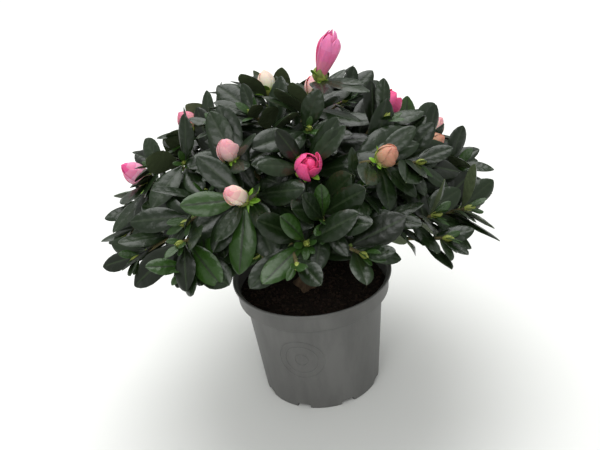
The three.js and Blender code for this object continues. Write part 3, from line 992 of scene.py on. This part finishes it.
def drain_tools(sizes):
    """Rounded slots round the foot and round holes through the floor."""
    tools = []
    for i in range(SLOTS["count"]):
        turn = math.radians((i + 0.5) * 360 / SLOTS["count"])
        spot = Vector((0, -sizes.foot_radius, 0))
        spot.rotate(Matrix.Rotation(turn, 3, "Z"))
        bpy.ops.mesh.primitive_cube_add(size=1, location=spot, rotation=(0, 0, turn))
        tool = bpy.context.object
        tool.scale = (SLOTS["width"] * MM, SLOTS["depth"] * MM, 2 * SLOTS["height"] * MM)
        settle()
        rounding = tool.modifiers.new("Rounding", "BEVEL")
        rounding.width = SLOTS["rounding"] * MM
        rounding.segments = 4
        finish_modifiers(tool)
        tools.append(tool)
    radius, depth = HOLES["radius"] * MM, HOLES["depth"] * MM
    for i in range(HOLES["count"]):
        spot = Vector((0, HOLES["circle"] * MM, MM))
        spot.rotate(Matrix.Rotation(math.radians(i * 360 / HOLES["count"]), 3, "Z"))
        bpy.ops.mesh.primitive_cylinder_add(vertices=32, radius=radius, depth=depth, location=spot)
        settle()
        tools.append(bpy.context.object)
    return tools


def pot_rings(sizes):
    """Plain moulded rings that stand out of the pot's wall."""
    lower, upper = pot_profile(sizes)[2:4]
    wire, middle = RINGS_ON_POT["wire"] * MM, RINGS_ON_POT["height"] * MM
    rings = []
    for radius in RINGS_ON_POT["radii"]:
        bpy.ops.mesh.primitive_torus_add(
            major_radius=radius * MM, minor_radius=wire, major_segments=72, minor_segments=8
        )
        ring = bpy.context.object
        for vertex in ring.data.vertices:
            x, up, out = vertex.co
            height = middle + up
            wall = mix(lower[0], upper[0], (height - lower[1]) / (upper[1] - lower[1]))
            turn = math.radians(RINGS_ON_POT["azimuth"]) + x / wall
            reach = wall + out * RINGS_ON_POT["flat"]
            vertex.co = (math.sin(turn) * reach, -math.cos(turn) * reach, height)
        rings.append(ring)
    return rings


class AZALEA_OT_pot(Operator):
    """Makes the moulded pot, with its collar, lip, drain slots and holes"""

    bl_idname = "azalea.pot"
    bl_label = "Pot"

    def execute(self, context):
        sizes = context.scene.azalea_sizes
        pot = turn_vessel("pot_shell", pot_profile(sizes), POT_SIDES)
        cut(pot, drain_tools(sizes))
        rings = pot_rings(sizes)
        only(pot)
        for ring in rings:
            ring.select_set(True)
        bpy.ops.object.join()
        smooth(pot, 32)
        plastic = plastic_material("moulded_polypropylene", context.scene.azalea_colours.plastic)
        dress(pot, [plastic], "pot_plastic", "pot")
        return {"FINISHED"}


# The peat

PEAT_SIDES = 112
PEAT_RINGS = np.linspace(0.985, 0.04, 26)  # of its top, as shares of its radius
CRUMBS = dict(
    seed=41, uneven=0.3, size=(0.5, 1.7), height=0.7, tilt=0.35, lift=0.3,
    fibre_every=6, fibre=(2.5, 5), fibre_girth=(0.22, 0.18),
)


def peat_profile(sizes):
    """Radii and heights in metres, from the root ball's underside to the middle of its top.

    It keeps just clear of the pot's wall and steps out above the neck, as the pot does.
    """
    neck, outer = sizes.neck_radius - 1.9 * MM, sizes.rim_radius - 4.2 * MM
    foot, bottom = sizes.foot_radius - 2.2 * MM, 3.1 * MM
    ledge = sizes.pot_height - sizes.collar_height
    profile = [(foot - 1 * MM, 2.1 * MM), (foot, bottom)]
    for share in (0.3, 0.6, 0.85, 1):
        profile.append((mix(foot, neck, share), mix(bottom, ledge - 1.2 * MM, share)))
    profile.append((outer, ledge + 1.5 * MM))
    return profile + [(outer * share, sizes.peat_level) for share in PEAT_RINGS]


def crumb_points(sizes):
    """Loose crumbs and fibres on the peat: points and faces of small lumps and slivers."""
    draw = np.random.default_rng(CRUMBS["seed"]).uniform
    bpy.ops.mesh.primitive_ico_sphere_add(subdivisions=1, radius=1)
    lump = bpy.context.object
    shape = np.array([vertex.co for vertex in lump.data.vertices])
    shell = [tuple(face.vertices) for face in lump.data.polygons]
    bpy.data.objects.remove(lump)
    outer = (sizes.rim_radius - 5.2 * MM) / MM
    points, faces = [], []
    for i in range(sizes.crumbs):
        radius = outer * math.sqrt(draw(0.02, 1))
        turn = draw(0, 2 * math.pi)
        if i % CRUMBS["fibre_every"] == 0:
            stretch = (draw(*CRUMBS["fibre"]), *CRUMBS["fibre_girth"])
        else:
            stretch = draw(*CRUMBS["size"], 3) * (1, 1, CRUMBS["height"])
        crumb = shape * (1 + CRUMBS["uneven"] * draw(-1, 1, shape.shape)) * stretch
        yaw = Matrix.Rotation(draw(0, 6.28), 3, "Z")
        pitch = Matrix.Rotation(draw(-CRUMBS["tilt"], CRUMBS["tilt"]), 3, "Y")
        base = (math.cos(turn) * radius, math.sin(turn) * radius, sizes.peat_level / MM)
        first = len(points) * len(shape)
        points.append(crumb @ np.array(yaw @ pitch).T + base + UP * CRUMBS["lift"])
        faces += [tuple(corner + first for corner in face) for face in shell]
    return np.concatenate(points), faces


class AZALEA_OT_peat(Operator):
    """Makes the crumbly surface of the peat and its loose crumbs and fibres"""

    bl_idname = "azalea.peat"
    bl_label = "Peat"

    def execute(self, context):
        sizes, brown = context.scene.azalea_sizes, context.scene.azalea_colours.peat
        peat = turn_vessel("peat", peat_profile(sizes), PEAT_SIDES)
        roughen(peat, {"Clods": (7, 2.2), "Grit": (1.6, 0.9)}, middle=0.55)
        finish_modifiers(peat)
        smooth(peat, 40)
        # Damp peat is nearly black and dull, and the crumbs that lie loose have dried browner
        dark, light = shaded(brown, 0.6), shaded(brown, 1.5)
        damp = rough_material("damp_peat", dark, light, grain=1.6, rough=0.95, depth=0.7)
        dress(peat, [damp], "peat", "root_ball")
        crumbs = joined("peat_crumbs", *crumb_points(sizes))
        smooth(crumbs, 30)
        dark, light = shaded(brown, 0.8), shaded(brown, 2.6)
        dry = rough_material("peat_crumb", dark, light, grain=0.8, rough=0.95, depth=0.5)
        dress(crumbs, [dry], "peat")
        return {"FINISHED"}


# Stem, boughs and twigs


def stem_limb():
    """The stem as a limb, with a lobed flare at its foot."""
    heights = np.linspace(STEM_FOOT - 1.5, STEM["fork"], 22)
    rise = np.clip((heights - STEM_FOOT) / (STEM["fork"] - STEM_FOOT), 0, 1)
    flare = np.clip(1 - (heights - STEM_FOOT) / STEM["flare"], 0, 1)
    radii = mix(STEM["neck"], STEM["top"], rise) + flare**2 * (STEM["foot"] - STEM["neck"])

    def lobes(angles, i):
        return 1 + 0.22 * flare[i] * np.cos(4 * angles) + 0.05 * np.cos(3 * angles + i * 0.3)

    return [stem_centre(height) for height in heights], radii, 20, lobes


def knots(angles, i):
    """How a bough's girth swells and shrinks along it."""
    return 1 + 0.1 * math.sin(i * 2.1) * np.cos(angles * 2 + i)


class AZALEA_OT_wood(Operator):
    """Makes the stem and boughs as one limb system with bark relief"""

    bl_idname = "azalea.wood"
    bl_label = "Stem and boughs"

    def execute(self, context):
        masses = place_masses()
        parts = [stem_limb()]
        for mass in masses:
            path = bent(*bough_curve(mass, masses), 14)
            parts.append((path, BOUGHS[mass["ring"]["name"]]["radii"], 12, knots))
        wood = joined("stem_and_boughs", *limbs(parts))
        fuse = wood.modifiers.new("Fuse", "REMESH")
        fuse.mode = "VOXEL"
        fuse.voxel_size = 0.42 * MM
        roughen(wood, {"Ridges": (2.6, 1.0), "Scales": (0.9, 0.45)}, middle=0.5)
        finish_modifiers(wood)
        only(wood)
        bpy.ops.object.shade_smooth()
        brown = context.scene.azalea_colours.bark
        # Azalea bark is grey-brown and dull, in fine scales that run along the wood
        tones = shaded(brown, 0.5), shaded(brown, 1.35)
        bark = rough_material("scaly_bark", *tones, grain=2.2, rough=0.85, depth=0.7, squash=0.35)
        dress(wood, [bark], "bark", *nodes_named("stem", "bough_"))
        return {"FINISHED"}


class AZALEA_OT_twigs(Operator):
    """Makes the shoots and side twigs that carry the leaves"""

    bl_idname = "azalea.twigs"
    bl_label = "Twigs"

    def execute(self, context):
        parts = [(path, (1.35, 1.0), 8) for path in crown()["shoots"]]
        parts += [(path, (0.9, 0.7), 6) for path in crown()["twigs"]]
        twigs = joined("twigs", *limbs(parts))
        smooth(twigs, 50)
        green = context.scene.azalea_colours.twig
        # This year's shoots are brownish green, and smoother than the boughs
        tones = shaded(green, 0.6), shaded(green, 1.3)
        wood = rough_material("young_bark", *tones, grain=1.5, rough=0.75, depth=0.4)
        dress(twigs, [wood], "bark")
        return {"FINISHED"}


# Leaves

TONES = dict(leaf_deep=0.2, leaf_green=0.38, leaf_grey=0.33, leaf_fresh=0.09)  # shares
# Painted shade: leaves inside the crown are darkened by taking the deep tone
SHADE = 0.72  # leaves deeper in the crown than this share of its reach have the deep tone
# How a leaf departs from the master: the kind of draw and its two values
LEAF_SHAPES = {
    "curl": ("uniform", -0.16, 0.24),
    "twist": ("normal", 0, 0.17),
    "bow": ("normal", 0, 0.04),
    "wave": ("uniform", 0, 0.014),
    "phase": ("uniform", 0, 6.28),
}
# The young leaves beside a flower bud, and those that close any other tip
BY_A_FLOWER = dict(count=3, spread=62, turn=48, length=10)
AT_A_TIP = dict(count=4, spread=30, turn=GOLDEN_TURN, length=12)
YOUNG_JITTER = dict(spread=12, length=0.25, foot=2)
ON_A_SIDE_TWIG = dict(leaf=0.8, bud=0.7)  # shares of the size at a shoot's tip


def shape_leaves(leaves, seed):
    """Gives each leaf a shape of its own, and a tone that it mostly shares with its spray. Leaves
    deep in the crown take the deep tone as painted shade.
    """
    generator = np.random.default_rng(seed)
    usual = {}
    for leaf in leaves:
        for key, (kind, one, other) in LEAF_SHAPES.items():
            leaf[key] = getattr(generator, kind)(one, other)
        tone = int(generator.choice(len(TONES), p=list(TONES.values())))
        spray = usual.setdefault(leaf["spray"], tone)
        leaf["tone"] = spray if generator.random() < 0.5 else tone
        # Painted shade: an inner leaf takes the deep tone, whatever its spray's tone
        out = leaf["foot"] + leaf["way"] * leaf["length"] * 0.6 - HEART
        if np.linalg.norm(out) < crown_reach(unit(out)) * SHADE:
            leaf["tone"] = 0
    return leaves


class AZALEA_OT_leaves(Operator):
    """Makes the mature leaves, one piece for each ring of the crown"""

    bl_idname = "azalea.leaves"
    bl_label = "Leaves"

    def execute(self, context):
        colours = context.scene.azalea_colours
        skins = [leaf_material(tone, getattr(colours, tone)) for tone in TONES]
        skins += [
            leaf_material("leaf_underside", colours.leaf_under, rough=0.6, uneven=0.12),
            leaf_material("leaf_midrib", colours.midrib, rough=0.45, uneven=0.15),
            leaf_material("leaf_stalk", colours.stalk, rough=0.5, uneven=0.15),
        ]
        part_slots = {"under": 4, "midrib": 5, "stalk": 6}
        for number, ring in enumerate(RINGS):
            here = [leaf for leaf in crown()["leaves"] if leaf["mass"].startswith(ring["name"])]
            shaped = shape_leaves(here, seed=7 + number)
            piece = leaf_piece(f"leaves_{ring['name']}", shaped, part_slots)
            dress(piece, skins, "foliage", *nodes_named(f"foliage_{ring['name']}"))
        return {"FINISHED"}


def young_leaves():
    """Bright leaves beside each flower bud, and small upright ones that close every other tip."""
    leaves = []
    for number, tip in enumerate(crown()["tips"]):
        draw = seeded(YOUNG_SEED + number)
        point, axis = along(tip["path"], 1)
        flower = tip["bud"] in BUDS
        form = BY_A_FLOWER if flower else AT_A_TIP
        first_turn = draw() * 360
        for i in range(form["count"]):
            spread = form["spread"] + YOUNG_JITTER["spread"] * either(draw)
            turn = first_turn + i * form["turn"]
            reach = form["length"] * (1 + YOUNG_JITTER["length"] * either(draw))
            reach *= ON_A_SIDE_TWIG["leaf"] if tip["side"] else 1
            foot = point - axis * draw() * YOUNG_JITTER["foot"]
            leaf, _ = pose_leaf(foot, axis, spread, turn, reach, width=0.4, arch=0.14)
            leaves.append(leaf | {"spray": number, "bright": flower})
    return leaves


class AZALEA_OT_young_leaves(Operator):
    """Makes the young leaves round the tips"""

    bl_idname = "azalea.young_leaves"
    bl_label = "Young leaves"

    def execute(self, context):
        colours = context.scene.azalea_colours
        soft = {"rough": 0.45, "uneven": 0.2, "veins": 0.08}
        skins = [
            leaf_material("young_leaf", colours.young, **soft),
            leaf_material("young_leaf_yellow", shaded(colours.young, 1.3), **soft),
            leaf_material("fresh_leaf", colours.leaf_fresh, rough=0.42, uneven=0.25, veins=0.08),
        ]
        leaves = shape_leaves(young_leaves(), seed=19)
        for leaf in leaves:
            leaf["tone"] = leaf["tone"] % 2 if leaf["bright"] else 2
        dress(leaf_piece("young_leaves", leaves, {}), skins, "foliage")
        return {"FINISHED"}


# Buds

PETAL_ROWS, PETAL_COLUMNS = 10, 8
CORE_SIDES = 10
BRACT_TURN = 2.4  # radians from one scale to the next
BRACT_ROWS = ((0.5, 0.8), (0.86, 1), (1.0, 0.9), (0.9, 0.6), (0.72, 0.1))  # girths and widths
BRACT_COLUMNS = 5
LEAF_BUD = dict(length=6, radii=(1.3, 1.6, 1.5, 1.0, 0.2))


def petal_points(form, reach, width, number):
    """One petal of a bud that stands on the origin: a curved sheet that laps its neighbour."""
    inner = number / form["petals"]
    turn = number * math.radians(GOLDEN_TURN) * 1.05
    opens = form["flare"] >= 0.1
    top = mix(1, 0.9, inner) if opens else mix(0.88, 1, min(1, inner * 1.5))
    points = []
    for v in np.linspace(0, 1, PETAL_ROWS):  # up the petal
        height = v * top
        radius = np.interp(height, BUD_HEIGHTS, form["radii"]) * width / 2
        radius *= 1 - form["shrink"] * inner
        narrow = max(0, 1 - max(0, (v - 0.42) / 0.58) ** 1.9) ** 0.7 * min(1, 0.7 + v)
        flare = width / 2 * form["flare"] * (1 - inner) * v**5
        for s in np.linspace(-1, 1, PETAL_COLUMNS):  # across it
            crease = 0.07 * math.exp(-((s * 4) ** 2)) * math.sin(v * 3)
            ruffle = form["ruffle"] * math.sin(s * 6 + number * 2.1) * v**2
            out = radius * (1.03 + 0.13 * s - crease + ruffle) + flare
            angle = turn + s * form["wrap"] * max(0.07, narrow) + 0.5 * v
            points.append((math.cos(angle) * out, math.sin(angle) * out, height * reach))
    return np.array(points)


def bract_points(turn, reach, girth, width):
    """One scale that stands on the origin and hugs the foot of a bud."""
    points = []
    for v, (swell, narrow) in zip(np.linspace(0, 1, len(BRACT_ROWS)), BRACT_ROWS):
        for s in np.linspace(-1, 1, BRACT_COLUMNS):
            angle = turn + s * width * narrow
            out = girth * swell * (1 + 0.05 * s)
            points.append((math.cos(angle) * out, math.sin(angle) * out, v * reach))
    return np.array(points)


def sheets_piece(name, sheets, columns, slots, thickness):
    """A piece of small curved sheets, each a grid of points, with a slot for each face."""
    faces = []
    count = len(sheets[0])
    for first in range(0, len(sheets) * count, count):
        for row in range(first, first + count - columns, columns):
            for near in range(row, row + columns - 1):
                faces.append((near, near + 1, near + columns + 1, near + columns))
    piece = joined(name, np.concatenate(sheets), faces, slots)
    wall = piece.modifiers.new("Thickness", "SOLIDIFY")
    wall.thickness = thickness * MM
    wall.offset = 0
    return piece


def stand_on(points, foot, axis):
    """Turns points that stand on the origin so that they stand on a foot along an axis."""
    side, cross = across_of(axis)
    return foot + points[:, :1] * side - points[:, 1:2] * cross + points[:, 2:] * axis


def flower_buds():
    """The foot, axis, form, length, width and colour of every flower bud."""
    ends = [tip for tip in crown()["tips"] if tip["bud"] in BUDS]
    return [(*bud_place(tip["bud"], tip["path"]), *BUDS[tip["bud"]]) for tip in ends]


def petal_colours():
    """The colours of each kind of petal, in bands from its foot to its tip."""
    bands = {}
    for name, codes in PETALS.items():
        stops = np.linspace(0, 1, len(codes))
        channels = np.array([linear(code) for code in codes]).T
        bands[name] = [
            tuple(float(np.interp(share, stops, channel)) for channel in channels)
            for share in np.linspace(0, 1, PETAL_BANDS)
        ]
    return bands


class AZALEA_OT_buds(Operator):
    """Makes the flower buds: closed cores and the petals that wrap them"""

    bl_idname = "azalea.buds"
    bl_label = "Buds"

    def execute(self, context):
        names = list(PETALS)
        sheets, slots, cores, core_slots = [], [], [], []
        for foot, axis, kind, reach, width, shade in flower_buds():
            form = BUD_FORMS[kind]
            first = names.index(shade) * PETAL_BANDS
            for number in range(form["petals"]):
                points = petal_points(form, reach, width, number)
                sheets.append(stand_on(points, foot - axis * 0.5, axis))
                for row in range(PETAL_ROWS - 1):
                    band = row * PETAL_BANDS // (PETAL_ROWS - 1)
                    slots += [first + band] * (PETAL_COLUMNS - 1)
            swell, tall = form["core"]
            path = [foot + axis * share * reach * tall for share in BUD_HEIGHTS]
            cores.append((path, np.array(form["radii"]) * width / 2 * swell, CORE_SIDES))
            core_slots.append(first + PETAL_BANDS - 1)
        buds = sheets_piece("petals", sheets, PETAL_COLUMNS, slots, thickness=0.35)
        finer = buds.modifiers.new("Softness", "SUBSURF")
        finer.levels = finer.render_levels = 1
        finish_modifiers(buds)
        points, faces = limbs(cores)
        core_slots = np.repeat(core_slots, len(faces) // len(cores))
        hearts = joined("bud_hearts", points, faces, core_slots)
        petals = [
            petal_material(f"petal_{name}_{band + 1}", rgb)
            for name, colours in petal_colours().items()
            for band, rgb in enumerate(colours)
        ]
        for piece in (buds, hearts):
            only(piece)
            bpy.ops.object.shade_smooth()
            dress(piece, petals, "foliage")
        return {"FINISHED"}


class AZALEA_OT_bracts(Operator):
    """Makes the scales round each flower bud's foot, and the leaf buds at the other tips"""

    bl_idname = "azalea.bracts"
    bl_label = "Bracts"

    def execute(self, context):
        sheets, slots, cores = [], [], []

        def scales(foot, axis, lengths, girth, width):
            for i, reach in enumerate(lengths):
                points = bract_points(i * BRACT_TURN, reach, girth, width)
                sheets.append(stand_on(points, foot, axis))
                slots.extend([i % 2] * (len(BRACT_ROWS) - 1) * (BRACT_COLUMNS - 1))

        for foot, axis, kind, _, width, _ in flower_buds():
            girth = width * 0.45 * (0.8 if kind == "half_open" else 1)
            lengths = [(5.5 + 1.2 * (i % 3)) * width / 13 for i in range(6)]
            scales(foot - axis * 1.2, axis, lengths, girth, width=0.62)
        for tip in crown()["tips"]:
            if tip["bud"] not in BUDS:
                foot, axis = along(tip["path"], 1)
                size = ON_A_SIDE_TWIG["bud"] if tip["side"] else 1
                lengths = [(6.5 - 0.4 * i) * size for i in range(5)]
                scales(foot - axis * 0.6, axis, lengths, girth=1.7 * size, width=0.9)
                ends = foot, foot + axis * LEAF_BUD["length"] * size
                path = [mix(*ends, share) for share in (0, 0.25, 0.5, 0.75, 1)]
                cores.append((path, np.array(LEAF_BUD["radii"]) * size, 6))
        bracts = sheets_piece("bracts", sheets, BRACT_COLUMNS, slots, thickness=0.3)
        finish_modifiers(bracts)
        smooth(bracts, 50)
        green = context.scene.azalea_colours.bract
        skins = [
            leaf_material("bract_green", green, rough=0.5),
            leaf_material("bract_brown", shaded(green, 0.6), rough=0.55),
        ]
        dress(bracts, skins, "foliage")
        hearts = joined("leaf_buds", *limbs(cores))
        smooth(hearts, 60)
        dress(hearts, skins[:1], "foliage")
        return {"FINISHED"}


# The stage

EYE = (0, -0.6025, 0.4594)  # the photograph's camera, in the plant's frame
TARGET = (-0.004, 0.002, 0.113)
LENS = 68
ROLL = -6.5  # the photograph shows the pot leaning this far


def aimed(spot, target, roll=0):
    """The matrix of a lamp or camera that looks from a spot at a target, rolled in degrees."""
    turn = (Vector(target) - Vector(spot)).to_track_quat("-Z", "Y").to_matrix().to_4x4()
    return Matrix.Translation(spot) @ turn @ Matrix.Rotation(math.radians(roll), 4, "Z")


def area_light(name, spot, target, size, power):
    lamp = bpy.data.lights.new(name, "AREA")
    lamp.shape = "RECTANGLE"
    lamp.size, lamp.size_y = size
    lamp.energy = power
    made = bpy.data.objects.new(name, lamp)
    made.matrix_world = aimed(spot, target)
    bpy.context.collection.objects.link(made)


class AZALEA_OT_stage(Operator):
    """Makes the pale floor, the soft studio light and the camera"""

    bl_idname = "azalea.stage"
    bl_label = "Stage"

    def execute(self, context):
        scene = context.scene
        bpy.ops.mesh.primitive_plane_add(size=8, location=(0, 0, 0))
        floor = context.object
        floor.name = "floor"
        settle()
        white = opaque(linear("#E9EAE7"))
        board = material("white_board", Roughness=0.8, Base_Color=white)[0]
        floor.data.materials.append(board)
        world = bpy.data.worlds.new("soft_room")
        world.use_nodes = True
        glow = world.node_tree.nodes["Background"].inputs
        glow["Color"].default_value = opaque(linear("#F4F5F5"))
        glow["Strength"].default_value = 0.56
        scene.world = world
        area_light("skylight", (-0.08, 0.6, 1.45), (0, 0, 0.1), (1.5, 1.5), 25)
        area_light("window", (-0.2, -1.2, 1.1), (0, 0, 0.08), (1.2, 0.8), 10)
        eye = bpy.data.objects.new("camera", bpy.data.cameras.new("camera"))
        scene.collection.objects.link(eye)
        eye.matrix_world = aimed(EYE, TARGET, ROLL)
        eye.data.lens = LENS
        eye.data.sensor_width = 36
        eye.data.clip_start = 0.01
        scene.camera = eye
        scene.view_settings.view_transform = "Standard"
        return {"FINISHED"}


class AZALEA_PT_panel(Panel):
    """Lists the azalea's pieces"""

    bl_idname = "AZALEA_PT_panel"
    bl_label = "Azalea"
    bl_space_type = "VIEW_3D"
    bl_region_type = "UI"
    bl_category = "Azalea"

    def draw(self, context):
        for group in (context.scene.azalea_sizes, context.scene.azalea_colours):
            box = self.layout.box()
            for key in group.__annotations__:
                box.prop(group, key)
        for operator in OPERATORS:
            self.layout.operator(operator.bl_idname)


OPERATORS = (
    AZALEA_OT_stage,
    AZALEA_OT_pot,
    AZALEA_OT_peat,
    AZALEA_OT_wood,
    AZALEA_OT_twigs,
    AZALEA_OT_leaves,
    AZALEA_OT_young_leaves,
    AZALEA_OT_buds,
    AZALEA_OT_bracts,
)
CLASSES = (AzaleaSizes, AzaleaColours, *OPERATORS, AZALEA_PT_panel)


def register():
    for each in CLASSES:
        bpy.utils.register_class(each)
    bpy.types.Scene.azalea_sizes = PointerProperty(type=AzaleaSizes)
    bpy.types.Scene.azalea_colours = PointerProperty(type=AzaleaColours)


def unregister():
    del bpy.types.Scene.azalea_sizes
    del bpy.types.Scene.azalea_colours
    for each in reversed(CLASSES):
        bpy.utils.unregister_class(each)


def main():
    register()
    bpy.ops.azalea.stage()
    bpy.ops.azalea.pot()
    bpy.ops.azalea.peat()
    bpy.ops.azalea.wood()
    bpy.ops.azalea.twigs()
    bpy.ops.azalea.leaves()
    bpy.ops.azalea.young_leaves()
    bpy.ops.azalea.buds()
    bpy.ops.azalea.bracts()


if __name__ == "__main__":
    main()
